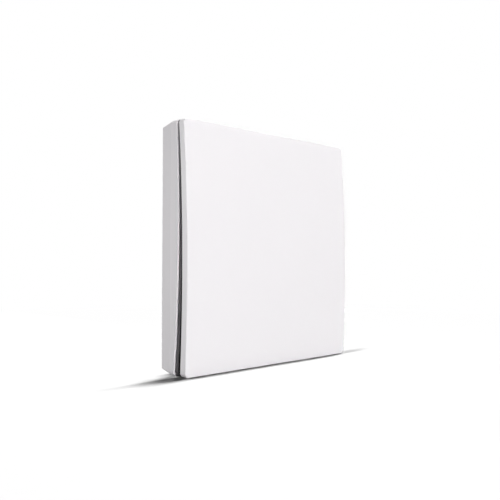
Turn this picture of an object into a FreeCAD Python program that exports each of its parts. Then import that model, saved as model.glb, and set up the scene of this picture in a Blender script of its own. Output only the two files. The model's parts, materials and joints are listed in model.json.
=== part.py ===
import FreeCAD, Part
import math
import os
import re
import Sketcher

# Wireless remote wall switch on a square plate.
# X runs to the right, the front faces -Y and Z runs up. The origin is the centre of the wall face.
# Every piece is drawn with the back of the shell at depth zero, and depths grow towards the front.
# The whole switch then stands off the wall by the part of the pad that is proud of the shell.

DRIVING_SIZES = {
    # Square plate, its tapered back and its wall
    "plate_side": 86.0,
    "corner_radius": 1.7,
    "taper_inset": 1.5,
    "taper_depth": 6.2,
    "lip_width": 0.8,
    "shell_wall": 1.4,
    "back_wall": 1.6,
    "shoulder_depth": 6.8,
    "rim_apex_depth": 10.3,
    "rim_apex_height": 9.3,
    "rim_bow_radius": 610.0,
    # Adhesive pad and its recess
    "pad_width": 44.0,
    "pad_height": 66.0,
    "pad_corner": 3.0,
    "pad_thickness": 0.9,
    "pad_recess": 0.5,
    "pad_gap": 0.3,
    # Slots for two wall screws, and the wells that reach them
    "slot_spacing": 60.3,
    "slot_radius": 2.25,
    "slot_length": 7.0,
    "well_radius": 4.6,
    "well_wall": 1.1,
    "well_floor_gap": 0.1,
    # Pry notch in the bottom rim
    "notch_width": 12.0,
    "notch_depth": 1.2,
    # Main board and the bosses that carry it
    "board_margin_side": 3.1,
    "board_margin_end": 6.1,
    "board_corner": 2.0,
    "board_standoff": 1.4,
    "board_thickness": 1.2,
    "board_hole_gap": 0.2,
    "board_notch_gap": 0.3,
    "boss_from_side": 4.0,
    "boss_from_end": 3.0,
    "boss_radius": 3.2,
    "boss_neck_radius": 2.2,
    "boss_neck_rise": 2.4,
    # Inner frame
    "frame_gap": 0.1,
    "frame_rise": 0.8,
    "frame_apex_height": -2.5,
    "frame_bow_radius": 540.0,
    "frame_plate": 1.4,
    "frame_skirt": 1.2,
    "post_radius": 3.4,
    "post_gap": 0.1,
    "post_floor": 1.3,
    "prop_side": 5.0,
    "clamp_side": 3.0,
    "window_gap": 0.3,
    "cell_window_gap": 1.5,
    # Snap legs at the frame's bottom edge, and the pockets in the shell that they catch in
    "snap_from_side": 19.5,
    "snap_width": 5.0,
    "snap_leg": 1.0,
    "snap_wall_gap": 0.2,
    "snap_barb": 0.5,
    "snap_barb_height": 1.0,
    "snap_catch_depth": 5.2,
    "snap_pocket_gap": 0.1,
    # Screws that hold the frame's top edge down
    "screw_radius": 1.1,
    "screw_length": 5.0,
    "screw_point": 1.0,
    "screw_head_radius": 1.9,
    "screw_head_height": 1.2,
    "screw_cross_span": 2.2,
    "screw_cross_width": 0.5,
    "screw_cross_depth": 0.8,
    "screw_pilot_gap": 0.05,
    "screw_hole_gap": 0.25,
    "screw_head_gap": 0.4,
    "screw_tip_gap": 0.4,
    # Hinge of the rocker
    "hinge_from_top": 5.4,
    "hinge_depth": 7.4,
    "hinge_from_side": 21.0,
    "lug_width": 2.5,
    "lug_radius": 2.0,
    "lug_side_gap": 0.3,
    "lug_slot_gap": 0.3,
    "pin_radius": 1.2,
    "pin_length": 2.4,
    "pin_gap": 0.06,
    "cheek_width": 2.5,
    "cheek_radius": 2.2,
    "press_angle": 0.6,
    # Rocker
    "rocker_rise": 1.5,
    "rocker_rear_height": -8.9,
    "rocker_rear_radius": 642.0,
    "rocker_edge": 2.58,
    "rocker_front_height": -9.4,
    "rocker_front_radius": 610.0,
    "rocker_plate": 1.6,
    "rocker_skirt": 1.5,
    "rocker_edge_break": 0.2,
    "rib_width": 1.0,
    "rib_clearance": 0.9,
    "rib_from_window": 2.5,
    "cross_rib_from_window": 1.5,
    "thin_spot_radius": 2.2,
    "thin_spot_wall": 0.5,
    # Hooks that keep the rocker from opening too far
    "hook_from_side": 27.0,
    "hook_width": 5.0,
    "hook_from_bottom": 5.4,
    "hook_leg": 1.2,
    "hook_barb": 0.8,
    "hook_barb_height": 1.2,
    "hook_gap": 0.15,
    "hook_slot_gap": 0.6,
    "hook_catch": 0.5,
    # Bumpers that the rocker lands on
    "bumper_from_side": 13.0,
    "bumper_from_bottom": 5.0,
    "bumper_radius": 2.5,
    "bumper_thickness": 1.05,
    "bumper_recess": 0.75,
    "bumper_fit": 0.1,
    "landing_radius": 2.0,
    "landing_gap": 0.05,
    # Coin cell, its holder and contacts
    "cell_below_led": 20.0,
    "cell_radius": 10.0,
    "cell_thickness": 3.2,
    "cell_cap_radius": 8.8,
    "cell_cap_height": 0.3,
    "holder_floor": 0.5,
    "holder_gap": 0.2,
    "holder_wall": 1.4,
    "holder_hook_gap": 0.1,
    "holder_hook_reach": 1.0,
    "holder_hook_height": 0.8,
    "holder_hook_start": 3.0,
    "holder_rim_drop": 0.3,
    "holder_mouth": 8.0,
    "sheet_thickness": 0.3,
    "contact_width": 6.0,
    "contact_length": 12.0,
    "clip_width": 7.0,
    "clip_reach": 4.0,
    "clip_foot": 2.5,
    "clip_leg_gap": 0.1,
    # Micro switch
    "switch_from_end": 8.0,
    "switch_width": 12.8,
    "switch_span": 5.8,
    "switch_base_height": 2.8,
    "switch_case_height": 3.4,
    "switch_wall": 0.6,
    "switch_roof": 0.7,
    "plunger_radius": 1.0,
    "plunger_proud": 1.0,
    "plunger_flange_radius": 1.6,
    "plunger_flange": 0.6,
    "plunger_gap": 0.05,
    "terminal_pitch": 5.08,
    "terminal_width": 0.9,
    "terminal_thickness": 0.5,
    "terminal_reach": 1.0,
    "terminal_hole_gap": 0.1,
    "actuator_radius": 2.0,
    "actuator_gap": 0.05,
    # Radio board, its shield, and the parts beside it
    "radio_from_side": 13.0,
    "radio_from_end": 14.0,
    "radio_width": 16.0,
    "radio_span": 12.0,
    "radio_thickness": 0.8,
    "shield_width": 11.0,
    "shield_span": 10.4,
    "shield_height": 1.7,
    "shield_shift": 2.0,
    "shield_wall": 0.3,
    "crystal_length": 8.0,
    "crystal_radius": 1.9,
    "crystal_height": 2.6,
    "chip_length": 2.0,
    "chip_width": 1.25,
    "chip_height": 0.9,
    "chip_pitch": 4.0,
    "chip_drop": 5.0,
    # Indicator and light guide
    "led_from_end": 6.0,
    "led_width": 3.2,
    "led_span": 1.6,
    "led_thickness": 1.1,
    "guide_radius": 1.5,
    "guide_flange_radius": 2.2,
    "guide_flange": 0.6,
    "guide_led_gap": 0.2,
    "guide_fit": 0.06,
    "guide_boss_wall": 1.4,
    "guide_recess": 0.1,
}


def bow(apex_depth, radius, apex_height, height):
    """Formula for the depth of a bowed surface at one height."""
    rise = f"(({height}) - ({apex_height}))"
    return f"{apex_depth} - {radius} + sqrt({radius} ^ 2 - {rise} ^ 2)"


# Values that follow from the driving sizes, each written as a formula over them.
# The order matters: a formula may only use driving sizes and formulas above it.
FITTED_SIZES = {
    # Overall
    "pad_proud": "pad_thickness - pad_recess",
    "half_side": "plate_side / 2",
    "back_half": "half_side - taper_inset",
    "back_corner": "corner_radius - taper_inset",
    "lip_half": "half_side - lip_width",
    "lip_corner": "corner_radius - lip_width",
    "cavity_half": "back_half - shell_wall",
    "block_top": "rim_apex_depth + frame_rise + rocker_rise + rocker_edge + 1",
    "beyond": "half_side + 5",
    # Slots and wells
    "slot_place": "slot_spacing / 2",
    "slot_run": "slot_length / 2 - slot_radius",
    "well_outer": "well_radius + well_wall",
    "well_floor": "back_wall + well_floor_gap",
    # Board
    "board_half_x": "cavity_half - board_margin_side",
    "board_half_z": "cavity_half - board_margin_end",
    "board_depth": "back_wall + board_standoff",
    "board_top": "board_depth + board_thickness",
    "board_notch_x": "slot_place - slot_run - well_outer - board_notch_gap",
    "board_notch_z": "well_outer + board_notch_gap",
    "boss_x": "board_half_x - boss_from_side",
    "boss_z": "board_half_z - boss_from_end",
    "boss_top": "board_top + boss_neck_rise",
    # Frame
    "frame_half": "lip_half - frame_gap",
    "frame_corner": "lip_corner - frame_gap",
    "frame_inner": "frame_half - frame_skirt",
    "frame_apex_depth": "rim_apex_depth + frame_rise",
    "frame_rear_apex": "frame_apex_depth - frame_plate",
    "frame_rear_radius": "frame_bow_radius - frame_plate",
    "post_bottom": "boss_top + post_gap",
    "screw_seat": "post_bottom + post_floor",
    "screw_tip": "screw_seat - screw_length",
    "pilot_bottom": "screw_tip - screw_tip_gap",
    "snap_place": "half_side - snap_from_side",
    "snap_outer": "-(cavity_half - snap_wall_gap)",
    "snap_tip_depth": "snap_catch_depth - snap_barb_height",
    # Hinge
    "hinge_height": "half_side - hinge_from_top",
    "hinge_place": "half_side - hinge_from_side",
    "lug_outer": "hinge_place + lug_width",
    "cheek_place": "lug_outer + lug_side_gap",
    "lug_slot_inner": "hinge_place - lug_side_gap",
    "lug_slot_half": "lug_radius + lug_slot_gap",
    # Rocker
    "rocker_rear_apex": "frame_apex_depth + rocker_rise",
    "rocker_front_apex": "rocker_rear_apex + rocker_edge",
    "rocker_inner_apex": "rocker_front_apex - rocker_plate",
    "rocker_inner_radius": "rocker_front_radius - rocker_plate",
    "rocker_inner_half": "half_side - rocker_skirt",
    "rib_depth": "frame_apex_depth + rib_clearance",
    "rocker_start": "frame_apex_depth - 4",
    # Hooks
    "hook_place": "half_side - hook_from_side",
    "hook_height": "-(half_side - hook_from_bottom)",
    "hook_catch_edge": "hook_height + hook_leg / 2 + hook_barb - hook_catch",
    "hook_top_depth": bow("frame_rear_apex", "frame_rear_radius", "frame_apex_height",
                          "hook_height") + " - hook_gap",
    "hook_tip_depth": "hook_top_depth - hook_barb_height",
    # Bumpers
    "bumper_place": "half_side - bumper_from_side",
    "bumper_height": "-(half_side - bumper_from_bottom)",
    "bumper_floor": bow("frame_apex_depth", "frame_bow_radius", "frame_apex_height",
                        "bumper_height") + " - bumper_recess",
    "bumper_top": "bumper_floor + bumper_thickness",
    "bumper_travel": "(hinge_height - bumper_height) * sin(press_angle)",
    "landing_depth": "bumper_top + bumper_travel + landing_gap",
    # Coin cell
    "led_z": "board_half_z - led_from_end",
    "cell_height": "led_z - cell_below_led",
    "contact_depth": "board_top + holder_floor",
    "cell_depth": "contact_depth + sheet_thickness",
    "cell_top": "cell_depth + cell_thickness",
    "holder_inner": "cell_radius + holder_gap",
    "holder_outer": "holder_inner + holder_wall",
    "holder_lip": "cell_top + holder_hook_gap",
    "holder_top": "holder_lip + holder_hook_height",
    "clip_leg": "holder_outer + clip_leg_gap",
    "cell_window": "cell_radius + cell_window_gap",
    "rib_place": "cell_window + rib_from_window",
    "cross_rib_high": "cell_height + cell_window + cross_rib_from_window",
    "cross_rib_low": "cell_height - cell_window - cross_rib_from_window",
    # Micro switch
    "switch_height": "-(board_half_z - switch_from_end)",
    "switch_case_depth": "board_top + switch_base_height",
    "switch_top": "switch_case_depth + switch_case_height",
    "plunger_tip": "switch_top + plunger_proud",
    "plunger_flange_top": "switch_top - switch_roof",
    "actuator_depth": "plunger_tip + actuator_gap",
    "terminal_bottom": "board_depth - terminal_reach",
    # Radio and small parts
    "radio_x": "board_half_x - radio_from_side",
    "radio_z": "-(board_half_z - radio_from_end)",
    "radio_top": "board_top + radio_thickness",
    "chip_x": "-(radio_x)",
    "chip_z": "radio_z - chip_drop",
    # Indicator
    "guide_bottom": "board_top + led_thickness + guide_led_gap",
    "guide_seat": "guide_bottom + guide_flange",
    "guide_boss": "guide_flange_radius + guide_boss_wall",
    "guide_top": bow("frame_apex_depth", "frame_bow_radius", "frame_apex_height",
                     "led_z") + " - guide_recess",
    "thin_spot_depth": bow("rocker_front_apex", "rocker_front_radius", "rocker_front_height",
                           "led_z") + " - thin_spot_wall",
}

doc = FreeCAD.newDocument("WallSwitch")
driving_sheet = doc.addObject("Spreadsheet::Sheet", "Sizes")
for row, (alias, number) in enumerate(DRIVING_SIZES.items(), 1):
    driving_sheet.set(f"A{row}", alias)
    driving_sheet.set(f"B{row}", str(number))
    driving_sheet.setAlias(f"B{row}", alias)
fitted_sheet = doc.addObject("Spreadsheet::Sheet", "Fits")


def bound(formula):
    """Put the right sheet's name before every size that a formula uses."""
    def named(match):
        word = match.group(0)
        if word in DRIVING_SIZES:
            return "Sizes." + word
        if word in FITTED_SIZES:
            return "Fits." + word
        return word
    return re.sub(r"[a-z][a-z_]*", named, formula)


for row, (alias, formula) in enumerate(FITTED_SIZES.items(), 1):
    fitted_sheet.set(f"A{row}", alias)
    fitted_sheet.set(f"B{row}", "=" + bound(formula).replace("Fits.", ""))
    fitted_sheet.setAlias(f"B{row}", alias)
doc.recompute()


def size(formula):
    """Present value of a formula, as a start for what is bound to it."""
    return float(driving_sheet.evalExpression(bound(formula)))


nodes = {}


def new_body(label, x="0", z="0", depth="0"):
    """Start a piece whose own origin lies at a place on the switch."""
    body = doc.addObject("PartDesign::Body", label)
    body.Label = label
    body.setExpression("Placement.Base.x", bound(x))
    body.setExpression("Placement.Base.y", bound(f"-(pad_proud + {depth})"))
    body.setExpression("Placement.Base.z", bound(z))
    nodes[label] = body
    return body


def new_sketch(body, name, role="XZ_Plane", offset="0"):
    """Open a sketch on one of the body's origin planes, moved along its normal."""
    plane = [item for item in body.Origin.OriginFeatures if item.Role == role][0]
    sketch = body.newObject("Sketcher::SketchObject", name)
    sketch.AttachmentSupport = [(plane, "")]
    sketch.MapMode = "FlatFace"
    sketch.setExpression("AttachmentOffset.Base.z", bound(offset))
    return sketch


def hold(sketch, kind, index, point, formula):
    """Hold one coordinate of a sketch point at a formula."""
    number = sketch.addConstraint(
        Sketcher.Constraint(kind, -1, 1, index, point, size(formula)))
    sketch.setExpression(f"Constraints[{number}]", bound(formula))


def hold_point(sketch, index, point, across, upward):
    hold(sketch, "DistanceX", index, point, across)
    hold(sketch, "DistanceY", index, point, upward)


def hold_radius(sketch, index, formula):
    number = sketch.addConstraint(Sketcher.Constraint("Radius", index, size(formula)))
    sketch.setExpression(f"Constraints[{number}]", bound(formula))


def draw_line(sketch, start, end):
    return sketch.addGeometry(Part.LineSegment(start, end), False)


def draw_arc(sketch, centre, radius, first, last):
    circle = Part.Circle(centre, FreeCAD.Vector(0, 0, 1), radius)
    return sketch.addGeometry(Part.ArcOfCircle(circle, first, last), False)


def draw_circle(sketch, across, upward, radius):
    centre = FreeCAD.Vector(size(across), size(upward), 0)
    circle = Part.Circle(centre, FreeCAD.Vector(0, 0, 1), size(radius))
    index = sketch.addGeometry(circle, False)
    hold_point(sketch, index, 3, across, upward)
    hold_radius(sketch, index, radius)


def draw_polygon(sketch, points):
    """Closed outline of straight lines through points given as pairs of formulas."""
    places = [FreeCAD.Vector(size(across), size(upward), 0) for across, upward in points]
    count = len(points)
    lines = [draw_line(sketch, places[i], places[(i + 1) % count]) for i in range(count)]
    for i in range(count):
        sketch.addConstraint(
            Sketcher.Constraint("Coincident", lines[i], 2, lines[(i + 1) % count], 1))
    for line, (across, upward) in zip(lines, points):
        hold_point(sketch, line, 1, across, upward)


def draw_rectangle(sketch, left, right, low, high):
    draw_polygon(sketch, [(left, low), (right, low), (right, high), (left, high)])


def draw_square(sketch, across, upward, side):
    draw_rectangle(sketch, f"{across} - {side} / 2", f"{across} + {side} / 2",
                   f"{upward} - {side} / 2", f"{upward} + {side} / 2")


def draw_round_rectangle(sketch, left, right, low, high, radius):
    """Rectangle with tangent arcs at its corners."""
    centres = [
        (f"{left} + {radius}", f"{low} + {radius}"),
        (f"{right} - ({radius})", f"{low} + {radius}"),
        (f"{right} - ({radius})", f"{high} - ({radius})"),
        (f"{left} + {radius}", f"{high} - ({radius})"),
    ]
    reach = size(radius)
    spots = [FreeCAD.Vector(size(across), size(upward), 0) for across, upward in centres]
    arcs = []
    for i, spot in enumerate(spots):
        first = math.pi + i * math.pi / 2
        arcs.append(draw_arc(sketch, spot, reach, first, first + math.pi / 2))
    sides = []
    for i, spot in enumerate(spots):
        outward = -math.pi / 2 + i * math.pi / 2
        shift = FreeCAD.Vector(math.cos(outward), math.sin(outward), 0) * reach
        sides.append(draw_line(sketch, spot + shift, spots[(i + 1) % 4] + shift))
    for i in range(4):
        sketch.addConstraint(Sketcher.Constraint("Tangent", arcs[i], 2, sides[i], 1))
        sketch.addConstraint(Sketcher.Constraint("Tangent", sides[i], 2, arcs[(i + 1) % 4], 1))
    for arc, (across, upward) in zip(arcs, centres):
        hold_point(sketch, arc, 3, across, upward)
    hold_radius(sketch, arcs[0], radius)
    for arc in arcs[1:]:
        sketch.addConstraint(Sketcher.Constraint("Equal", arcs[0], arc))


def draw_obround(sketch, across, upward, radius, run):
    """Slot along the local X axis: two half circles, each a run away from the middle."""
    reach = size(radius)
    far = FreeCAD.Vector(size(f"{across} + {run}"), size(upward), 0)
    near = FreeCAD.Vector(size(f"{across} - ({run})"), size(upward), 0)
    lift = FreeCAD.Vector(0, reach, 0)
    far_arc = draw_arc(sketch, far, reach, -math.pi / 2, math.pi / 2)
    top = draw_line(sketch, far + lift, near + lift)
    near_arc = draw_arc(sketch, near, reach, math.pi / 2, 3 * math.pi / 2)
    low = draw_line(sketch, near - lift, far - lift)
    ring = [far_arc, top, near_arc, low]
    for i in range(4):
        sketch.addConstraint(Sketcher.Constraint("Tangent", ring[i], 2, ring[(i + 1) % 4], 1))
    hold_point(sketch, far_arc, 3, f"{across} + {run}", upward)
    hold_point(sketch, near_arc, 3, f"{across} - ({run})", upward)
    hold_radius(sketch, far_arc, radius)
    sketch.addConstraint(Sketcher.Constraint("Equal", far_arc, near_arc))


def draw_bow(sketch, apex_depth, radius, apex_height, half, flat_depth):
    """Side view of what lies between a bowed surface and a flat one at another depth."""
    centre = FreeCAD.Vector(size(f"{radius} - ({apex_depth})"), size(apex_height), 0)
    reach = size(radius)
    upper = math.asin((size(half) - size(apex_height)) / reach)
    lower = math.asin((size(half) + size(apex_height)) / reach)
    arc = draw_arc(sketch, centre, reach, math.pi - upper, math.pi + lower)
    top = centre + FreeCAD.Vector(-math.cos(upper), math.sin(upper), 0) * reach
    bottom = centre + FreeCAD.Vector(-math.cos(lower), -math.sin(lower), 0) * reach
    far_low = FreeCAD.Vector(-size(flat_depth), -size(half), 0)
    far_high = FreeCAD.Vector(-size(flat_depth), size(half), 0)
    first = draw_line(sketch, bottom, far_low)
    second = draw_line(sketch, far_low, far_high)
    third = draw_line(sketch, far_high, top)
    ring = [arc, first, second, third]
    for i in range(4):
        sketch.addConstraint(
            Sketcher.Constraint("Coincident", ring[i], 2, ring[(i + 1) % 4], 1))
    hold_point(sketch, arc, 3, f"{radius} - ({apex_depth})", apex_height)
    hold_radius(sketch, arc, radius)
    hold(sketch, "DistanceY", arc, 1, half)
    hold(sketch, "DistanceY", arc, 2, f"-({half})")
    hold_point(sketch, second, 1, f"-({flat_depth})", f"-({half})")
    hold_point(sketch, second, 2, f"-({flat_depth})", half)


def draw_tongue(sketch, depth, height, radius, top):
    """Side view of a lug: a round end about an axis, and straight sides to a top depth."""
    centre = FreeCAD.Vector(-size(depth), size(height), 0)
    reach = size(radius)
    side = FreeCAD.Vector(0, reach, 0)
    end = FreeCAD.Vector(size(depth) - size(top), 0, 0)
    arc = draw_arc(sketch, centre, reach, -math.pi / 2, math.pi / 2)
    first = draw_line(sketch, centre + side, centre + side + end)
    second = draw_line(sketch, centre + side + end, centre - side + end)
    third = draw_line(sketch, centre - side + end, centre - side)
    ring = [arc, first, second, third]
    for i in range(4):
        sketch.addConstraint(
            Sketcher.Constraint("Coincident", ring[i], 2, ring[(i + 1) % 4], 1))
    hold_point(sketch, arc, 3, f"-({depth})", height)
    hold_radius(sketch, arc, radius)
    hold(sketch, "DistanceX", arc, 1, f"-({depth})")
    hold(sketch, "DistanceX", arc, 2, f"-({depth})")
    hold_point(sketch, second, 1, f"-({top})", f"{height} + {radius}")
    hold_point(sketch, second, 2, f"-({top})", f"{height} - {radius}")


def pad(body, sketch, length, backwards=False, both_ways=False):
    feature = body.newObject("PartDesign::Pad", sketch.Name + "Pad")
    feature.Profile = sketch
    if both_ways:
        feature.SideType = "Symmetric"
    feature.Reversed = backwards
    feature.setExpression("Length", bound(length))
    doc.recompute()
    return feature


def pocket(body, sketch, length, forwards=False, both_ways=False):
    feature = body.newObject("PartDesign::Pocket", sketch.Name + "Cut")
    feature.Profile = sketch
    if both_ways:
        feature.SideType = "Symmetric"
    feature.Reversed = forwards
    feature.setExpression("Length", bound(length))
    before = feature.BaseFeature.Shape.Volume
    doc.recompute()
    if feature.Shape.Volume > before - 1e-6:
        raise ValueError(f"{feature.Name} cuts nothing")
    return feature


def revolve(body, sketch, axis="H_Axis"):
    feature = body.newObject("PartDesign::Revolution", sketch.Name + "Turned")
    feature.Profile = sketch
    feature.ReferenceAxis = (sketch, [axis])
    feature.Angle = 360
    doc.recompute()
    return feature


def square_outline(sketch, half, radius):
    draw_round_rectangle(sketch, f"-({half})", half, f"-({half})", half, radius)


# Adhesive pad, between the wall and the shell
def make_adhesive_pad():
    body = new_body("adhesive_pad")
    outline = new_sketch(body, "PadOutline", offset="-(pad_proud)")
    draw_round_rectangle(outline, "-(pad_width / 2)", "pad_width / 2",
                         "-(pad_height / 2)", "pad_height / 2", "pad_corner")
    pad(body, outline, "pad_thickness")


# Back shell: a tray with a tapered back, a stepped rim and four stepped bosses
def make_base_shell():
    body = new_body("base_shell")
    back = new_sketch(body, "ShellBack")
    square_outline(back, "back_half", "back_corner")
    shoulder = new_sketch(body, "ShellTaperEnd", offset="taper_depth")
    square_outline(shoulder, "half_side", "corner_radius")
    taper = body.newObject("PartDesign::AdditiveLoft", "ShellTaper")
    taper.Profile = back
    taper.Sections = [shoulder]
    taper.Ruled = True
    doc.recompute()
    side = new_sketch(body, "ShellSide", offset="taper_depth")
    square_outline(side, "half_side", "corner_radius")
    pad(body, side, "block_top - taper_depth")
    rabbet = new_sketch(body, "ShellRabbet", offset="block_top")
    square_outline(rabbet, "lip_half", "lip_corner")
    pocket(body, rabbet, "block_top - shoulder_depth")
    cavity = new_sketch(body, "ShellCavity", offset="block_top")
    draw_rectangle(cavity, "-(cavity_half)", "cavity_half", "-(cavity_half)", "cavity_half")
    pocket(body, cavity, "block_top - back_wall")
    feet = new_sketch(body, "ShellBoss", offset="back_wall")
    necks = new_sketch(body, "ShellBossNeck", offset="back_wall")
    pilots = new_sketch(body, "ShellPilot", offset="boss_top")
    for across in ("boss_x", "-(boss_x)"):
        draw_circle(feet, across, "boss_z", "boss_radius")
        draw_circle(necks, across, "boss_z", "boss_neck_radius")
        draw_circle(pilots, across, "boss_z", "screw_radius + screw_pilot_gap")
        draw_square(feet, across, "-(boss_z)", "prop_side")
    pad(body, feet, "board_standoff")
    pad(body, necks, "boss_top - back_wall")
    pocket(body, pilots, "boss_top - pilot_bottom")
    catches = new_sketch(body, "ShellSnapPockets", role="XY_Plane", offset="-(cavity_half)")
    for across in ("snap_place", "-(snap_place)"):
        draw_rectangle(catches, f"{across} - snap_width / 2 - snap_pocket_gap",
                       f"{across} + snap_width / 2 + snap_pocket_gap",
                       "-(snap_catch_depth + snap_pocket_gap)",
                       "-(snap_tip_depth - snap_pocket_gap)")
    pocket(body, catches, "snap_barb - snap_wall_gap + snap_pocket_gap")
    rim = new_sketch(body, "ShellRim", role="YZ_Plane")
    draw_bow(rim, "rim_apex_depth", "rim_bow_radius", "rim_apex_height", "beyond", "block_top + 1")
    pocket(body, rim, "2 * beyond", both_ways=True)
    recess = new_sketch(body, "ShellPadRecess")
    draw_round_rectangle(recess, "-(pad_width / 2 + pad_gap)", "pad_width / 2 + pad_gap",
                         "-(pad_height / 2 + pad_gap)", "pad_height / 2 + pad_gap",
                         "pad_corner + pad_gap")
    pocket(body, recess, "pad_recess", forwards=True)
    slots = new_sketch(body, "ShellSlots", offset="back_wall")
    draw_obround(slots, "slot_place", "0", "slot_radius", "slot_run")
    draw_obround(slots, "-(slot_place)", "0", "slot_radius", "slot_run")
    pocket(body, slots, "back_wall")
    notch = new_sketch(body, "ShellNotch", role="XY_Plane", offset="-(half_side)")
    draw_rectangle(notch, "-(notch_width / 2)", "notch_width / 2",
                   "-(block_top)", "-(" + bow("rim_apex_depth", "rim_bow_radius",
                                              "rim_apex_height", "-(half_side)")
                   + " - notch_depth)")
    pocket(body, notch, "lip_width", forwards=True)


# Inner frame: a bowed plate with a skirt, screw wells, posts, hinge cheeks and openings
def make_inner_frame():
    body = new_body("inner_frame")
    outline = new_sketch(body, "FrameOutline", offset="shoulder_depth")
    square_outline(outline, "frame_half", "frame_corner")
    pad(body, outline, "block_top - shoulder_depth")
    under = new_sketch(body, "FrameUnderside", role="YZ_Plane")
    draw_bow(under, "frame_rear_apex", "frame_rear_radius", "frame_apex_height",
             "frame_inner", "shoulder_depth")
    pocket(body, under, "2 * frame_inner", both_ways=True)
    wells = new_sketch(body, "FrameWells", offset="well_floor")
    draw_obround(wells, "slot_place", "0", "well_outer", "slot_run")
    draw_obround(wells, "-(slot_place)", "0", "well_outer", "slot_run")
    pad(body, wells, "block_top - well_floor")
    posts = new_sketch(body, "FramePosts", offset="post_bottom")
    heads = new_sketch(body, "FrameScrewHeads", offset="block_top")
    shanks = new_sketch(body, "FrameScrewHoles", offset="block_top")
    clamps = new_sketch(body, "FrameClamps", offset="board_top")
    for across in ("boss_x", "-(boss_x)"):
        draw_circle(posts, across, "boss_z", "post_radius")
        draw_circle(heads, across, "boss_z", "screw_head_radius + screw_head_gap")
        draw_circle(shanks, across, "boss_z", "screw_radius + screw_hole_gap")
        draw_square(clamps, across, "-(boss_z)", "clamp_side")
    pad(body, posts, "block_top - post_bottom")
    pad(body, clamps, "block_top - board_top")
    guide = new_sketch(body, "FrameGuideBoss", offset="guide_seat")
    draw_circle(guide, "0", "led_z", "guide_boss")
    pad(body, guide, "block_top - guide_seat")
    for side, backwards in (("right", False), ("left", True)):
        sign = "-1" if backwards else "1"
        cheek = new_sketch(body, f"FrameCheek_{side}", role="YZ_Plane",
                           offset=f"{sign} * cheek_place")
        draw_tongue(cheek, "hinge_depth", "hinge_height", "cheek_radius", "block_top")
        pad(body, cheek, "cheek_width", backwards=backwards)
        snap = new_sketch(body, f"FrameSnap_{side}", role="YZ_Plane",
                          offset=f"{sign} * snap_place")
        draw_polygon(snap, [("-(block_top)", "snap_outer"),
                            ("-(block_top)", "snap_outer + snap_leg"),
                            ("-(snap_tip_depth)", "snap_outer + snap_leg"),
                            ("-(snap_tip_depth)", "snap_outer"),
                            ("-(snap_catch_depth) + snap_barb_height / 3",
                             "snap_outer - snap_barb"),
                            ("-(snap_catch_depth)", "snap_outer - snap_barb"),
                            ("-(snap_catch_depth)", "snap_outer")])
        pad(body, snap, "snap_width", both_ways=True)
    front = new_sketch(body, "FrameFront", role="YZ_Plane")
    draw_bow(front, "frame_apex_depth", "frame_bow_radius", "frame_apex_height",
             "beyond", "block_top + 1")
    pocket(body, front, "2 * beyond", both_ways=True)
    bearings = new_sketch(body, "FrameBearings", role="YZ_Plane")
    draw_circle(bearings, "-(hinge_depth)", "hinge_height", "pin_radius + pin_gap")
    pocket(body, bearings, "2 * (cheek_place + cheek_width)", both_ways=True)
    pocket(body, heads, "block_top - screw_seat")
    pocket(body, shanks, "block_top - post_bottom")
    bores = new_sketch(body, "FrameWellBores", offset="block_top")
    draw_obround(bores, "slot_place", "0", "well_radius", "slot_run")
    draw_obround(bores, "-(slot_place)", "0", "well_radius", "slot_run")
    pocket(body, bores, "block_top - well_floor")
    openings = new_sketch(body, "FrameOpenings", offset="block_top")
    draw_circle(openings, "0", "cell_height", "cell_window")
    draw_circle(openings, "0", "led_z", "guide_radius + guide_fit")
    draw_rectangle(openings, "-(switch_width / 2 + window_gap)", "switch_width / 2 + window_gap",
                   "switch_height - switch_span / 2 - window_gap",
                   "switch_height + switch_span / 2 + window_gap")
    for sign in ("1", "-1"):
        ends = [f"{sign} * lug_slot_inner", f"{sign} * cheek_place"]
        ends.sort(key=size)
        draw_rectangle(openings, ends[0], ends[1], "hinge_height - lug_slot_half",
                       "hinge_height + lug_slot_half")
        draw_rectangle(openings, f"{sign} * hook_place - hook_width / 2 - window_gap",
                       f"{sign} * hook_place + hook_width / 2 + window_gap",
                       "hook_height - hook_leg / 2 - hook_slot_gap", "hook_catch_edge")
    pocket(body, openings, "block_top - board_top")
    recesses = new_sketch(body, "FrameBumperRecess", offset="block_top")
    for across in ("bumper_place", "-(bumper_place)"):
        draw_circle(recesses, across, "bumper_height", "bumper_radius + bumper_fit")
    pocket(body, recesses, "block_top - bumper_floor")


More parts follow.
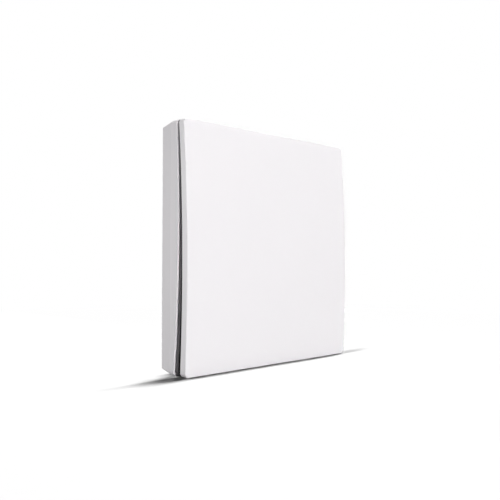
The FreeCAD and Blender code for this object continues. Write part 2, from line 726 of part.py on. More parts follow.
# Rocker: one bowed key with a skirt, ribs, hinge lugs with pins, hooks and an actuator post
def make_rocker():
    body = new_body("rocker")
    outline = new_sketch(body, "RockerOutline", offset="rocker_start")
    square_outline(outline, "half_side", "corner_radius")
    pad(body, outline, "block_top - rocker_start")
    hollow = new_sketch(body, "RockerHollow", role="YZ_Plane")
    draw_bow(hollow, "rocker_inner_apex", "rocker_inner_radius", "rocker_front_height",
             "rocker_inner_half", "rocker_start - 1")
    pocket(body, hollow, "2 * rocker_inner_half", both_ways=True)
    rear = new_sketch(body, "RockerRearEdge", role="YZ_Plane")
    draw_bow(rear, "rocker_rear_apex", "rocker_rear_radius", "rocker_rear_height",
             "beyond", "rocker_start - 1")
    pocket(body, rear, "2 * beyond", both_ways=True)
    ribs = new_sketch(body, "RockerRibs", offset="rib_depth")
    for across in ("rib_place", "-(rib_place)"):
        draw_rectangle(ribs, f"{across} - rib_width / 2", f"{across} + rib_width / 2",
                       "-(rocker_inner_half)", "rocker_inner_half")
    pad(body, ribs, "block_top - rib_depth")
    for name, height in (("High", "cross_rib_high"), ("Low", "cross_rib_low")):
        cross = new_sketch(body, f"RockerCrossRib{name}", offset="rib_depth")
        draw_rectangle(cross, "-(rocker_inner_half)", "rocker_inner_half",
                       f"{height} - rib_width / 2", f"{height} + rib_width / 2")
        pad(body, cross, "block_top - rib_depth")
    for side, backwards in (("right", False), ("left", True)):
        sign = "-1" if backwards else "1"
        lug = new_sketch(body, f"RockerLug_{side}", role="YZ_Plane",
                         offset=f"{sign} * hinge_place")
        draw_tongue(lug, "hinge_depth", "hinge_height", "lug_radius", "block_top")
        pad(body, lug, "lug_width", backwards=backwards)
        pin = new_sketch(body, f"RockerPin_{side}", role="YZ_Plane",
                         offset=f"{sign} * hinge_place")
        draw_circle(pin, "-(hinge_depth)", "hinge_height", "pin_radius")
        pad(body, pin, "lug_width + pin_length", backwards=backwards)
        hook = new_sketch(body, f"RockerHook_{side}", role="YZ_Plane",
                          offset=f"{sign} * hook_place")
        low = "hook_height - hook_leg / 2"
        high = "hook_height + hook_leg / 2"
        draw_polygon(hook, [("-(block_top)", low), ("-(block_top)", high),
                            ("-(hook_top_depth)", high),
                            ("-(hook_top_depth)", f"{high} + hook_barb"),
                            ("-(hook_top_depth) + hook_barb_height / 3", f"{high} + hook_barb"),
                            ("-(hook_tip_depth)", high), ("-(hook_tip_depth)", low)])
        pad(body, hook, "hook_width", both_ways=True)
    landings = new_sketch(body, "RockerLandings", offset="landing_depth")
    for across in ("bumper_place", "-(bumper_place)"):
        draw_circle(landings, across, "bumper_height", "landing_radius")
    pad(body, landings, "block_top - landing_depth")
    actuator = new_sketch(body, "RockerActuator", offset="actuator_depth")
    draw_circle(actuator, "0", "switch_height", "actuator_radius")
    pad(body, actuator, "block_top - actuator_depth")
    front = new_sketch(body, "RockerFront", role="YZ_Plane")
    draw_bow(front, "rocker_front_apex", "rocker_front_radius", "rocker_front_height",
             "beyond", "block_top + 1")
    pocket(body, front, "2 * beyond", both_ways=True)
    spot = new_sketch(body, "RockerThinSpot", offset="thin_spot_depth")
    draw_circle(spot, "0", "led_z", "thin_spot_radius")
    faced = pocket(body, spot, "thin_spot_depth - rib_depth")
    bowed = [f"Face{number}" for number, face in enumerate(faced.Shape.Faces, 1)
             if isinstance(face.Surface, Part.Cylinder)
             and abs(face.Surface.Radius - size("rocker_front_radius")) < 0.01]
    edge = body.newObject("PartDesign::Chamfer", "RockerFrontEdge")
    edge.Base = (faced, bowed)
    edge.setExpression("Size", bound("rocker_edge_break"))
    doc.recompute()


# Main board, with holes for the boss necks and notches for the screw wells
def make_circuit_board():
    body = new_body("circuit_board", depth="board_depth")
    outline = new_sketch(body, "BoardOutline")
    draw_round_rectangle(outline, "-(board_half_x)", "board_half_x",
                         "-(board_half_z)", "board_half_z", "board_corner")
    pad(body, outline, "board_thickness")
    holes = new_sketch(body, "BoardHoles", offset="board_thickness")
    for across in ("boss_x", "-(boss_x)"):
        draw_circle(holes, across, "boss_z", "boss_neck_radius + board_hole_gap")
    draw_rectangle(holes, "board_notch_x", "beyond", "-(board_notch_z)", "board_notch_z")
    draw_rectangle(holes, "-(beyond)", "-(board_notch_x)", "-(board_notch_z)", "board_notch_z")
    for step in ("-1", "0", "1"):
        across = f"{step} * terminal_pitch"
        half = "terminal_width / 2 + terminal_hole_gap"
        rise = "terminal_thickness / 2 + terminal_hole_gap"
        draw_rectangle(holes, f"{across} - ({half})", f"{across} + {half}",
                       f"switch_height - ({rise})", f"switch_height + {rise}")
    pocket(body, holes, "board_thickness")


# Frame screws: flat heads with a cross recess, and a point
def make_frame_screws():
    for number, across in enumerate(("boss_x", "-(boss_x)"), 1):
        body = new_body(f"frame_screw_{number}", x=across, z="boss_z", depth="screw_seat")
        profile = new_sketch(body, f"ScrewProfile_{number}", role="YZ_Plane")
        draw_polygon(profile, [("screw_length", "0"),
                               ("screw_length - screw_point", "screw_radius"),
                               ("0", "screw_radius"), ("0", "screw_head_radius"),
                               ("-(screw_head_height)", "screw_head_radius"),
                               ("-(screw_head_height)", "0")])
        revolve(body, profile)
        arm = "screw_cross_span / 2"
        thin = "screw_cross_width / 2"
        cross = new_sketch(body, f"ScrewCross_{number}", offset="screw_head_height")
        draw_polygon(cross, [(f"-({arm})", f"-({thin})"), (f"-({thin})", f"-({thin})"),
                             (f"-({thin})", f"-({arm})"), (thin, f"-({arm})"),
                             (thin, f"-({thin})"), (arm, f"-({thin})"), (arm, thin),
                             (thin, thin), (thin, arm), (f"-({thin})", arm),
                             (f"-({thin})", thin), (f"-({arm})", thin)])
        pocket(body, cross, "screw_cross_depth")


# Coin cell: can with a stepped cap on the side that faces the board
def make_coin_cell():
    body = new_body("coin_cell", z="cell_height", depth="cell_depth")
    profile = new_sketch(body, "CellProfile", role="YZ_Plane")
    draw_polygon(profile, [("0", "0"), ("0", "cell_cap_radius"),
                           ("-(cell_cap_height)", "cell_cap_radius"),
                           ("-(cell_cap_height)", "cell_radius"),
                           ("-(cell_thickness)", "cell_radius"),
                           ("-(cell_thickness)", "0")])
    revolve(body, profile)


# Battery holder: a ring with a floor, two catches over the cell and a mouth for the clip
def make_battery_holder():
    body = new_body("battery_holder", z="cell_height", depth="board_top")
    outline = new_sketch(body, "HolderOutline")
    draw_circle(outline, "0", "0", "holder_outer")
    pad(body, outline, "holder_top - board_top")
    well = new_sketch(body, "HolderWell", offset="holder_lip - board_top")
    draw_circle(well, "0", "0", "holder_inner")
    pocket(body, well, "holder_lip - contact_depth")
    throat = new_sketch(body, "HolderThroat", offset="holder_top - board_top")
    draw_circle(throat, "0", "0", "cell_radius - holder_hook_reach")
    pocket(body, throat, "holder_hook_height + holder_hook_gap")
    clear = new_sketch(body, "HolderClear", offset="holder_top - board_top")
    draw_rectangle(clear, "-(beyond)", "holder_hook_start", "-(beyond)", "beyond")
    pocket(body, clear, "holder_top - cell_top + holder_rim_drop")
    mouth = new_sketch(body, "HolderMouth", offset="holder_top - board_top")
    draw_rectangle(mouth, "-(beyond)", "-(cell_cap_radius)", "-(holder_mouth / 2)",
                   "holder_mouth / 2")
    pocket(body, mouth, "holder_top - contact_depth")


# Negative contact: a strip on the holder's floor under the cell
def make_negative_contact():
    body = new_body("negative_contact", z="cell_height", depth="contact_depth")
    outline = new_sketch(body, "ContactOutline")
    draw_obround(outline, "0", "0", "contact_width / 2", "contact_length / 2 - contact_width / 2")
    pad(body, outline, "sheet_thickness")


# Positive clip: a bent strip from the board, up beside the holder and over the cell
def make_positive_clip():
    body = new_body("positive_clip", z="cell_height")
    outer = "-(clip_leg + sheet_thickness)"
    inner = "-(clip_leg)"
    profile = new_sketch(body, "ClipProfile", role="XY_Plane")
    draw_polygon(profile, [(inner, "-(board_top)"), (inner, "-(cell_top)"),
                           ("-(cell_radius - clip_reach)", "-(cell_top)"),
                           ("-(cell_radius - clip_reach)", "-(cell_top + sheet_thickness)"),
                           (outer, "-(cell_top + sheet_thickness)"),
                           (outer, "-(board_top + sheet_thickness)"),
                           (f"{outer} - clip_foot", "-(board_top + sheet_thickness)"),
                           (f"{outer} - clip_foot", "-(board_top)")])
    pad(body, profile, "clip_width", both_ways=True)


# Micro switch: base, hollow case, three terminals and a flanged plunger
def make_micro_switch():
    half = "switch_width / 2"
    rise = "switch_span / 2"
    base = new_body("micro_switch_base", z="switch_height", depth="board_top")
    outline = new_sketch(base, "SwitchBase")
    draw_rectangle(outline, f"-({half})", half, f"-({rise})", rise)
    pad(base, outline, "switch_base_height")
    case = new_body("micro_switch_case", z="switch_height", depth="switch_case_depth")
    cover = new_sketch(case, "SwitchCase")
    draw_rectangle(cover, f"-({half})", half, f"-({rise})", rise)
    pad(case, cover, "switch_case_height")
    room = new_sketch(case, "SwitchRoom", offset="switch_case_height - switch_roof")
    draw_rectangle(room, f"-({half} - switch_wall)", f"{half} - switch_wall",
                   f"-({rise} - switch_wall)", f"{rise} - switch_wall")
    pocket(case, room, "switch_case_height - switch_roof")
    hole = new_sketch(case, "SwitchHole", offset="switch_case_height")
    draw_circle(hole, "0", "0", "plunger_radius + plunger_gap")
    pocket(case, hole, "switch_roof")
    plunger = new_body("micro_switch_plunger", z="switch_height", depth="plunger_flange_top")
    stem = "plunger_tip - plunger_flange_top"
    profile = new_sketch(plunger, "PlungerProfile", role="YZ_Plane")
    draw_polygon(profile, [("plunger_flange", "0"), ("plunger_flange", "plunger_flange_radius"),
                           ("0", "plunger_flange_radius"), ("0", "plunger_radius"),
                           (f"-({stem})", "plunger_radius"), (f"-({stem})", "0")])
    revolve(plunger, profile)
    for number, step in enumerate(("-1", "0", "1"), 1):
        pin = new_body(f"micro_switch_terminal_{number}", x=f"{step} * terminal_pitch",
                       z="switch_height", depth="terminal_bottom")
        section = new_sketch(pin, f"TerminalSection_{number}")
        draw_rectangle(section, "-(terminal_width / 2)", "terminal_width / 2",
                       "-(terminal_thickness / 2)", "terminal_thickness / 2")
        pad(pin, section, "board_top - terminal_bottom")


# Radio board with its shield, and the crystal and capacitors beside it
def make_radio():
    board = new_body("radio_board", x="radio_x", z="radio_z", depth="board_top")
    outline = new_sketch(board, "RadioBoard")
    draw_rectangle(outline, "-(radio_width / 2)", "radio_width / 2",
                   "-(radio_span / 2)", "radio_span / 2")
    pad(board, outline, "radio_thickness")
    shield = new_body("radio_shield", x="radio_x - shield_shift", z="radio_z", depth="radio_top")
    can = new_sketch(shield, "ShieldCan")
    draw_rectangle(can, "-(shield_width / 2)", "shield_width / 2",
                   "-(shield_span / 2)", "shield_span / 2")
    pad(shield, can, "shield_height")
    room = new_sketch(shield, "ShieldRoom", offset="shield_height - shield_wall")
    draw_rectangle(room, "-(shield_width / 2 - shield_wall)", "shield_width / 2 - shield_wall",
                   "-(shield_span / 2 - shield_wall)", "shield_span / 2 - shield_wall")
    pocket(shield, room, "shield_height - shield_wall")
    crystal = new_body("crystal_can", x="-(radio_x)", z="radio_z", depth="board_top")
    section = new_sketch(crystal, "CrystalSection")
    draw_obround(section, "0", "0", "crystal_radius", "crystal_length / 2 - crystal_radius")
    pad(crystal, section, "crystal_height")
    for number, step in enumerate(("-1", "0", "1"), 1):
        chip = new_body(f"chip_capacitor_{number}", x=f"chip_x + {step} * chip_pitch",
                        z="chip_z", depth="board_top")
        block = new_sketch(chip, f"ChipSection_{number}")
        draw_rectangle(block, "-(chip_width / 2)", "chip_width / 2",
                       "-(chip_length / 2)", "chip_length / 2")
        pad(chip, block, "chip_height")


# Indicator on the board, and the flanged light guide above it
def make_indicator():
    led = new_body("indicator_led", z="led_z", depth="board_top")
    outline = new_sketch(led, "LedOutline")
    draw_rectangle(outline, "-(led_width / 2)", "led_width / 2",
                   "-(led_span / 2)", "led_span / 2")
    pad(led, outline, "led_thickness")
    guide = new_body("light_guide", z="led_z", depth="guide_seat")
    profile = new_sketch(guide, "GuideProfile", role="YZ_Plane")
    draw_polygon(profile, [("guide_flange", "0"), ("guide_flange", "guide_flange_radius"),
                           ("0", "guide_flange_radius"), ("0", "guide_radius"),
                           ("-(guide_top - guide_seat)", "guide_radius"),
                           ("-(guide_top - guide_seat)", "0")])
    revolve(guide, profile)


# Silicone bumpers in the frame's two lower recesses
def make_bumpers():
    for side, across in (("left", "-(bumper_place)"), ("right", "bumper_place")):
        body = new_body(f"bumper_{side}", x=across, z="bumper_height", depth="bumper_floor")
        disc = new_sketch(body, f"BumperDisc_{side}")
        draw_circle(disc, "0", "0", "bumper_radius")
        pad(body, disc, "bumper_thickness")


make_adhesive_pad()
make_base_shell()
make_inner_frame()
make_rocker()
make_circuit_board()
make_frame_screws()
make_coin_cell()
make_battery_holder()
make_negative_contact()
make_positive_clip()
make_micro_switch()
make_radio()
make_indicator()
make_bumpers()
doc.recompute()

for item in doc.Objects:
    if "Invalid" in item.State or "Error" in item.State:
        raise ValueError(f"{item.Name} failed to compute")
for label, body in nodes.items():
    if body.Shape.isNull() or not body.Shape.isValid() or len(body.Shape.Solids) != 1:
        raise ValueError(f"{label} is not one valid solid")

os.makedirs("parts", exist_ok=True)
for label, body in nodes.items():
    body.Shape.exportStep(f"parts/{label}.step")
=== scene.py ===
import json
import math

import bpy
from mathutils import Matrix, Vector

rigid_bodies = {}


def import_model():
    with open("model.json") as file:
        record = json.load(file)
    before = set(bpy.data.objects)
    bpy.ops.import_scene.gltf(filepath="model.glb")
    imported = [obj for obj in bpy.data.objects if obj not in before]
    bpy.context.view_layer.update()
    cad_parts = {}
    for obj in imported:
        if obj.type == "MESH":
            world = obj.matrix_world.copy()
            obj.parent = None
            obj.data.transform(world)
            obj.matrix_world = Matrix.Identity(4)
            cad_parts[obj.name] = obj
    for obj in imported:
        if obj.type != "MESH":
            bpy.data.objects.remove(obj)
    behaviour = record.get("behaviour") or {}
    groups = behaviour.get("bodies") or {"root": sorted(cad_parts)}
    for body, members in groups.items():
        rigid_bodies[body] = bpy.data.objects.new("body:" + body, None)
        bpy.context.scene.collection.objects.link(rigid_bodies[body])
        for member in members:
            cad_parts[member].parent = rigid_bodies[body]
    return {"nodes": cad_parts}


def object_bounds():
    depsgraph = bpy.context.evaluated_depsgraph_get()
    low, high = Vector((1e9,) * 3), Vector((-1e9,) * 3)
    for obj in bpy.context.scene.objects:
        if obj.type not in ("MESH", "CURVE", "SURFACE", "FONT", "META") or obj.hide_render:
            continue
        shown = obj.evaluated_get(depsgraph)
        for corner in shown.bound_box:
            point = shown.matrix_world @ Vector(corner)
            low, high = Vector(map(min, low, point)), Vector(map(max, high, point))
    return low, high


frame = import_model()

# Looks of a wireless wall switch that stands on a pale floor.
# Metres, in the model's own frame: X to the right, the front faces -Y, Z up.

MM = 0.001
cad_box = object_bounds()
nodes = frame["nodes"]
plate_end = cad_box[1][0]
floor_height = cad_box[0][2]

# Colours, in linear light
SHELL_WHITE = (0.775, 0.753, 0.775)
ROCKER_WHITE = (0.825, 0.806, 0.825)
# Painted shade: a darker white for the shell's forward-looking faces, standing for the rocker's
# shade on them
SHELL_FRONT_PAINTED_SHADE = (0.65, 0.63, 0.65)
FRAME_GREY = (0.245, 0.234, 0.245)
# Painted shade: black for the frame's forward-looking faces, standing for the dark gap behind the
# rocker
FRAME_FRONT_PAINTED_SHADE = (0.005, 0.005, 0.005)
FOAM_WHITE = (0.70, 0.70, 0.68)
BOARD_GREEN = (0.012, 0.10, 0.045)
BOARD_TRACE = (0.03, 0.19, 0.08)
BLACK = (0.018, 0.018, 0.019)
RED = (0.42, 0.045, 0.03)
STEEL = (0.62, 0.61, 0.60)
BRASS = (0.66, 0.52, 0.27)
CERAMIC = (0.34, 0.22, 0.13)
LAMP = (0.85, 0.80, 0.62)
CLEAR = (0.90, 0.95, 0.97)
SILICONE = (0.52, 0.52, 0.53)
FLOOR_SEEN = (0.3, 0.3, 0.3)
FLOOR_SCATTERED = (0.05, 0.05, 0.05)
AMBIENT_TINT = (1, 0.99, 1, 1)
WHITE = (1, 1, 1, 1)

# Gloss, and how far it varies over a surface
PLASTIC_SPECULAR = 0.35
PLASTIC_ROUGHNESS_SPREAD = 0.06
METAL_ROUGHNESS_SPREAD = 0.07
METAL_LINE_DEPTH = 0.004 * MM

# Forward-looking faces take a painted shade colour. A face looks forward where its normal's Y is
# below the first value, and not above the second
FORWARD = (-0.7, -0.5)

# The floor's seams lie just inside the plate's ends, and the floor fades to white between two
# distances from the plate's middle
FLOOR_REACH = 6.0
SEAM_INSET = 0.9 * MM
FLOOR_FADE = (0.12, 0.3)

# Strength of the dim light from all around, and the strips' height over the plate's middle
AMBIENT = 0.08
STRIP_HEIGHT = 2.0


class Shader:
    """A material's node tree, with short ways to add and join its nodes."""

    def __init__(self, name):
        self.material = bpy.data.materials.new(name)
        self.material.use_nodes = True
        self.tree = self.material.node_tree
        self.surface = self.tree.nodes["Principled BSDF"]
        self.place = self.add("ShaderNodeTexCoord").outputs["Object"]

    def add(self, kind, **settings):
        node = self.tree.nodes.new(kind)
        for key, setting in settings.items():
            setattr(node, key, setting)
        return node

    def join(self, output, target):
        self.tree.links.new(output, target)

    def noise(self, scale, detail=3.0, stretch=(1, 1, 1)):
        """Noise of so many lumps a metre, drawn out along an axis by a small stretch."""
        mapping = self.add("ShaderNodeMapping")
        mapping.inputs["Scale"].default_value = stretch
        self.join(self.place, mapping.inputs["Vector"])
        texture = self.add("ShaderNodeTexNoise")
        texture.inputs["Scale"].default_value = scale
        texture.inputs["Detail"].default_value = detail
        self.join(mapping.outputs["Vector"], texture.inputs["Vector"])
        return texture.outputs["Fac"]

    def spread(self, value, low, high):
        """Stretch a 0 to 1 value onto another range."""
        node = self.add("ShaderNodeMapRange")
        node.inputs["To Min"].default_value = low
        node.inputs["To Max"].default_value = high
        self.join(value, node.inputs["Value"])
        return node.outputs["Result"]

    def blend(self, factor, first, second):
        node = self.add("ShaderNodeMix", data_type="RGBA")
        node.inputs["A"].default_value = (*first, 1.0)
        node.inputs["B"].default_value = (*second, 1.0)
        self.join(factor, node.inputs["Factor"])
        return node.outputs["Result"]

    def paint_front_shade(self, colour, around):
        """Painted shade: one colour on the faces that look forward, and the given socket's on all
        others.
        """
        facing = self.add("ShaderNodeSeparateXYZ")
        self.join(self.add("ShaderNodeNewGeometry").outputs["True Normal"], facing.inputs["Vector"])
        side = self.add("ShaderNodeMapRange")
        side.inputs["From Min"].default_value = FORWARD[0]
        side.inputs["From Max"].default_value = FORWARD[1]
        self.join(facing.outputs["Y"], side.inputs["Value"])
        node = self.add("ShaderNodeMix", data_type="RGBA")
        node.inputs["A"].default_value = (*colour, 1.0)
        self.join(around, node.inputs["B"])
        self.join(side.outputs["Result"], node.inputs["Factor"])
        return node.outputs["Result"]

    def bump(self, heights):
        """Chain bumps, given as pairs of a value and its depth in metres."""
        normal = None
        for value, depth in heights:
            node = self.add("ShaderNodeBump")
            node.inputs["Distance"].default_value = depth
            node.inputs["Strength"].default_value = 1.0
            self.join(value, node.inputs["Height"])
            if normal:
                self.join(normal, node.inputs["Normal"])
            normal = node.outputs["Normal"]
        self.join(normal, self.surface.inputs["Normal"])


def tinted(colour, factor):
    return tuple(channel * factor for channel in colour)


def moulded(name, colour, roughness, grain, depth, variation, front=None):
    """Moulded plastic: faint clouding, an eroded grain, and uneven gloss."""
    shader = Shader(name)
    shader.surface.inputs["Specular IOR Level"].default_value = PLASTIC_SPECULAR
    base = shader.blend(shader.noise(35, detail=2.0), tinted(colour, 1 - variation),
                        tinted(colour, 1 + variation))
    # Forward-looking faces get the painted shade colour, if one is given
    if front:
        base = shader.paint_front_shade(front, base)
    shader.join(base, shader.surface.inputs["Base Color"])
    fine = shader.noise(grain, detail=4.0)
    shader.join(shader.spread(fine, roughness - PLASTIC_ROUGHNESS_SPREAD,
                              roughness + PLASTIC_ROUGHNESS_SPREAD),
                shader.surface.inputs["Roughness"])
    shader.bump([(fine, depth)])
    return shader.material


def metal(name, colour, roughness, brushed):
    """Rolled or pressed metal, with fine lines along the direction it was rolled in."""
    shader = Shader(name)
    shader.surface.inputs["Metallic"].default_value = 1.0
    lines = shader.noise(2500, stretch=brushed)
    shader.join(shader.blend(lines, tinted(colour, 0.9), tinted(colour, 1.06)),
                shader.surface.inputs["Base Color"])
    shader.join(shader.spread(lines, roughness - METAL_ROUGHNESS_SPREAD,
                              roughness + METAL_ROUGHNESS_SPREAD),
                shader.surface.inputs["Roughness"])
    shader.bump([(lines, METAL_LINE_DEPTH)])
    return shader.material


def board(name):
    """Green circuit board: copper under the mask shows as paler traces and pours."""
    shader = Shader(name)
    traces = shader.add("ShaderNodeTexBrick", offset=0.5, squash=1.0)
    traces.inputs["Scale"].default_value = 220
    traces.inputs["Mortar Size"].default_value = 0.06
    traces.inputs["Brick Width"].default_value = 1.6
    traces.inputs["Row Height"].default_value = 0.35
    turned = shader.add("ShaderNodeMapping")
    turned.inputs["Rotation"].default_value = (math.radians(90), 0, 0)
    shader.join(shader.place, turned.inputs["Vector"])
    shader.join(turned.outputs["Vector"], traces.inputs["Vector"])
    shader.join(shader.blend(traces.outputs["Fac"], BOARD_TRACE, BOARD_GREEN),
                shader.surface.inputs["Base Color"])
    fine = shader.noise(1400)
    shader.join(shader.spread(fine, 0.28, 0.42), shader.surface.inputs["Roughness"])
    shader.bump([(traces.outputs["Fac"], 0.03 * MM), (fine, 0.004 * MM)])
    return shader.material


def foam(name):
    """Closed-cell foam tape: fine cells that catch the light."""
    shader = Shader(name)
    cells = shader.add("ShaderNodeTexVoronoi")
    cells.inputs["Scale"].default_value = 2600
    shader.join(shader.place, cells.inputs["Vector"])
    shader.join(shader.blend(shader.noise(60), tinted(FOAM_WHITE, 0.94), tinted(FOAM_WHITE, 1.04)),
                shader.surface.inputs["Base Color"])
    shader.join(shader.spread(cells.outputs["Distance"], 0.75, 0.95),
                shader.surface.inputs["Roughness"])
    shader.bump([(cells.outputs["Distance"], 0.08 * MM)])
    return shader.material


def clear(name):
    """Clear acrylic with a faintly frosted end."""
    shader = Shader(name)
    shader.surface.inputs["Transmission Weight"].default_value = 1.0
    shader.surface.inputs["IOR"].default_value = 1.49
    fine = shader.noise(900)
    shader.join(shader.blend(fine, tinted(CLEAR, 0.97), CLEAR), shader.surface.inputs["Base Color"])
    shader.join(shader.spread(fine, 0.05, 0.18), shader.surface.inputs["Roughness"])
    shader.bump([(fine, 0.004 * MM)])
    return shader.material


def dress():
    """Give every modelled piece its material."""
    # What shows of the shell's and the frame's fronts is a thin line in the rocker's shade, so
    # their forward-looking faces get painted shade
    white = moulded("white_shell", SHELL_WHITE, roughness=0.58, grain=1500, depth=0.012 * MM,
                    variation=0.012, front=SHELL_FRONT_PAINTED_SHADE)
    satin = moulded("white_rocker", ROCKER_WHITE, roughness=0.52, grain=1100, depth=0.006 * MM,
                    variation=0.008)
    grey = moulded("grey_frame", FRAME_GREY, roughness=0.55, grain=1800, depth=0.02 * MM,
                   variation=0.06, front=FRAME_FRONT_PAINTED_SHADE)
    black = moulded("black_plastic", BLACK, roughness=0.45, grain=1500, depth=0.015 * MM,
                    variation=0.15)
    red = moulded("red_plastic", RED, roughness=0.4, grain=1500, depth=0.01 * MM, variation=0.05)
    ceramic = moulded("ceramic", CERAMIC, roughness=0.5, grain=2500, depth=0.01 * MM,
                      variation=0.08)
    lamp = moulded("lamp_white", LAMP, roughness=0.25, grain=900, depth=0.005 * MM,
                   variation=0.04)
    rubber = moulded("silicone", SILICONE, roughness=0.7, grain=1800, depth=0.015 * MM,
                     variation=0.04)
    steel = metal("steel", STEEL, roughness=0.3, brushed=(1, 0.05, 1))
    brass = metal("brass", BRASS, roughness=0.33, brushed=(0.08, 1, 1))
    green = board("board_green")
    looks = {
        "base_shell": white, "rocker": satin, "inner_frame": grey, "adhesive_pad": foam("foam"),
        "circuit_board": green, "radio_board": green, "coin_cell": steel, "radio_shield": steel,
        "crystal_can": steel, "battery_holder": black, "micro_switch_base": black,
        "micro_switch_case": black, "micro_switch_plunger": red, "positive_clip": brass,
        "negative_contact": brass, "indicator_led": lamp, "light_guide": clear("clear"),
        "bumper_left": rubber, "bumper_right": rubber,
    }
    for name, item in nodes.items():
        if name.startswith("frame_screw"):
            look = steel
        elif name.startswith("micro_switch_terminal"):
            look = brass
        elif name.startswith("chip_capacitor"):
            look = ceramic
        else:
            look = looks[name]
        item.data.materials.clear()
        item.data.materials.append(look)


def seen_directly(tree):
    """1 for what the camera sees, also in a mirror or through glass, and 0 for scattered light."""
    path = tree.nodes.new("ShaderNodeLightPath")
    total = path.outputs["Is Camera Ray"]
    for kind in ("Is Glossy Ray", "Is Transmission Ray"):
        most = tree.nodes.new("ShaderNodeMath")
        most.operation = "MAXIMUM"
        tree.links.new(total, most.inputs[0])
        tree.links.new(path.outputs[kind], most.inputs[1])
        total = most.outputs["Value"]
    return total


def collection_of(name, *items):
    """A new collection of some objects, for lamps to light or to be shaded by."""
    group = bpy.data.collections.new(name)
    for item in items:
        group.objects.link(item)
    return group


def floor_look():
    """Pale floor that keeps the switch's shadow and fades into the white backdrop."""
    shader = Shader("floor")
    sharp = seen_directly(shader.tree)
    shader.join(shader.blend(sharp, FLOOR_SCATTERED, FLOOR_SEEN),
                shader.surface.inputs["Base Color"])
    shader.surface.inputs["Roughness"].default_value = 0.9
    shader.surface.inputs["Specular IOR Level"].default_value = 0.0
    white = shader.add("ShaderNodeEmission")
    white.inputs["Color"].default_value = WHITE
    distance = shader.add("ShaderNodeVectorMath", operation="LENGTH")
    shader.join(shader.place, distance.inputs[0])
    fade = shader.add("ShaderNodeMapRange")
    fade.inputs["From Min"].default_value = FLOOR_FADE[0]
    fade.inputs["From Max"].default_value = FLOOR_FADE[1]
    shader.join(distance.outputs["Value"], fade.inputs["Value"])
    seen = shader.add("ShaderNodeMath", operation="MULTIPLY")
    shader.join(fade.outputs["Result"], seen.inputs[0])
    shader.join(sharp, seen.inputs[1])
    mix = shader.add("ShaderNodeMixShader")
    shader.join(seen.outputs["Value"], mix.inputs["Fac"])
    shader.join(shader.surface.outputs["BSDF"], mix.inputs[1])
    shader.join(white.outputs["Emission"], mix.inputs[2])
    shader.join(mix.outputs["Shader"], shader.tree.nodes["Material Output"].inputs["Surface"])
    return shader.material


def make_floor():
    """The floor in three parts, beyond the plate's left end, along it, and beyond its right end."""
    seam = plate_end - SEAM_INSET
    look = floor_look()
    parts = {}
    for side, left, right in (("left", -FLOOR_REACH, -seam), ("middle", -seam, seam),
                              ("right", seam, FLOOR_REACH)):
        name = "floor_" + side
        mesh = bpy.data.meshes.new(name)
        corners = ((left, -FLOOR_REACH), (right, -FLOOR_REACH),
                   (right, FLOOR_REACH), (left, FLOOR_REACH))
        mesh.from_pydata([(x, y, floor_height) for x, y in corners], [], [(0, 1, 2, 3)])
        mesh.materials.append(look)
        part = bpy.data.objects.new(name, mesh)
        bpy.context.scene.collection.objects.link(part)
        parts[side] = collection_of(name, part)
    return parts


def make_backdrop():
    """White to the camera, and a dim even light to everything else."""
    world = bpy.data.worlds.new("backdrop")
    bpy.context.scene.world = world
    world.use_nodes = True
    tree = world.node_tree
    lit = tree.nodes["Background"]
    lit.inputs["Color"].default_value = AMBIENT_TINT
    lit.inputs["Strength"].default_value = AMBIENT
    white = tree.nodes.new("ShaderNodeBackground")
    white.inputs["Color"].default_value = WHITE
    mix = tree.nodes.new("ShaderNodeMixShader")
    tree.links.new(seen_directly(tree), mix.inputs["Fac"])
    tree.links.new(lit.outputs["Background"], mix.inputs[1])
    tree.links.new(white.outputs["Background"], mix.inputs[2])
    tree.links.new(mix.outputs["Shader"], tree.nodes["World Output"].inputs["Surface"])


def make_light(name, place, width, depth, watts, lit, aim=None):
    """Rectangular soft box that faces a point, or else the floor, and lights a collection."""
    lamp = bpy.data.lights.new(name, "AREA")
    lamp.shape = "RECTANGLE"
    lamp.size = width
    lamp.size_y = depth
    lamp.energy = watts
    item = bpy.data.objects.new(name, lamp)
    item.location = place
    if aim:
        item.rotation_euler = (Vector(aim) - Vector(place)).to_track_quat("-Z", "Y").to_euler()
    item.light_linking.receiver_collection = lit
    bpy.context.scene.collection.objects.link(item)
    return item


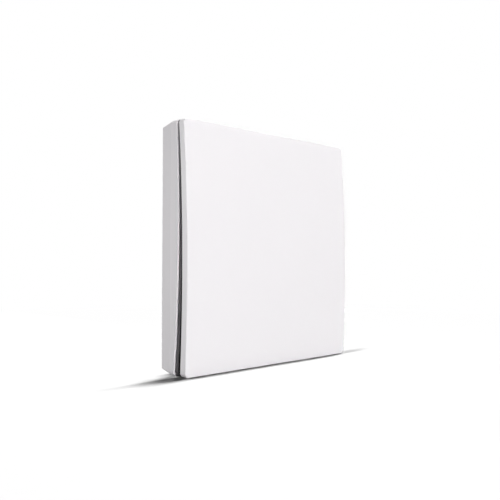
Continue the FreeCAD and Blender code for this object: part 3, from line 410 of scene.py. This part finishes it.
def make_lights(floors):
    not_floor = collection_of("not_floor", *(part.objects[0] for part in floors.values()))
    for part in not_floor.collection_objects:
        part.light_linking.link_state = "EXCLUDE"
    rocker = collection_of("rocker_alone", nodes["rocker"])
    front = collection_of("rocker_and_frame", nodes["rocker"], nodes["inner_frame"])
    # Long strips above the floor, drawn out along the plate's width. Each lights one part of the
    # floor, where it leaves the dark line under the rocker or a thin shadow beyond an end.
    # Name, part of the floor, what shades it, x, y, width, depth and watts
    strips = (("left", "left", rocker, 0.52, -0.01, 0.48, 0.04, 52),
              ("left_frame", "left", front, 0.32, 0.07, 0.32, 0.10, 101),
              ("middle", "middle", front, 0.45, 0.07, 0.90, 0.10, 155),
              ("right_low", "right", rocker, -0.30, 0.0, 0.30, 0.06, 55),
              ("right_high", "right", rocker, 0.25, 0.0, 0.30, 0.06, 85))
    for name, part, shades, x, y, width, depth, watts in strips:
        strip = make_light("strip_" + name, (x, y, STRIP_HEIGHT), width, depth, watts,
                           floors[part])
        strip.light_linking.blocker_collection = shades
    # Soft boxes for the switch itself: name, place, aim, width, depth and watts
    centre = (0, 0, 0)
    boxes = (("above", (0.35, -0.1, 1.5), (0.1, -0.1, 0), 0.7, 0.8, 17.5),
             ("front_left", (-0.36, -1.45, 0), centre, 0.3, 0.3, 31),
             ("left_behind", (-0.75, 1.30, 0), centre, 0.4, 0.4, 20.3),
             ("left", (-1.48, 0.20, 0), centre, 0.4, 0.4, 1.5),
             ("right", (1.48, 0.26, 0), centre, 0.4, 0.4, 12))
    for name, place, aim, width, depth, watts in boxes:
        make_light(name, place, width, depth, watts, not_floor, aim)


def make_camera():
    """Pinhole camera fitted to the photograph's outlines of the plate."""
    focal_px = 666.44
    image_px = 500
    azimuth = math.radians(-45.443)
    pitch = math.radians(0.705)
    roll = math.radians(0.220)
    place = (-0.183865, -0.182986, -0.003472)
    data = bpy.data.cameras.new("camera")
    data.sensor_width = 36.0
    data.lens = focal_px / image_px * data.sensor_width
    data.clip_start = 0.01
    camera = bpy.data.objects.new("camera", data)
    ahead = Vector((-math.sin(azimuth) * math.cos(pitch), math.cos(azimuth) * math.cos(pitch),
                    math.sin(pitch)))
    level = Vector((math.cos(azimuth), math.sin(azimuth), 0))
    upright = level.cross(ahead)
    across = level * math.cos(roll) + upright * math.sin(roll)
    upward = upright * math.cos(roll) - level * math.sin(roll)
    turn = Matrix((across, upward, -ahead)).transposed()
    camera.matrix_world = Matrix.Translation(place) @ turn.to_4x4()
    bpy.context.scene.collection.objects.link(camera)
    bpy.context.scene.camera = camera


dress()
make_lights(make_floor())
make_backdrop()
make_camera()
bpy.context.scene.view_settings.view_transform = "Standard"
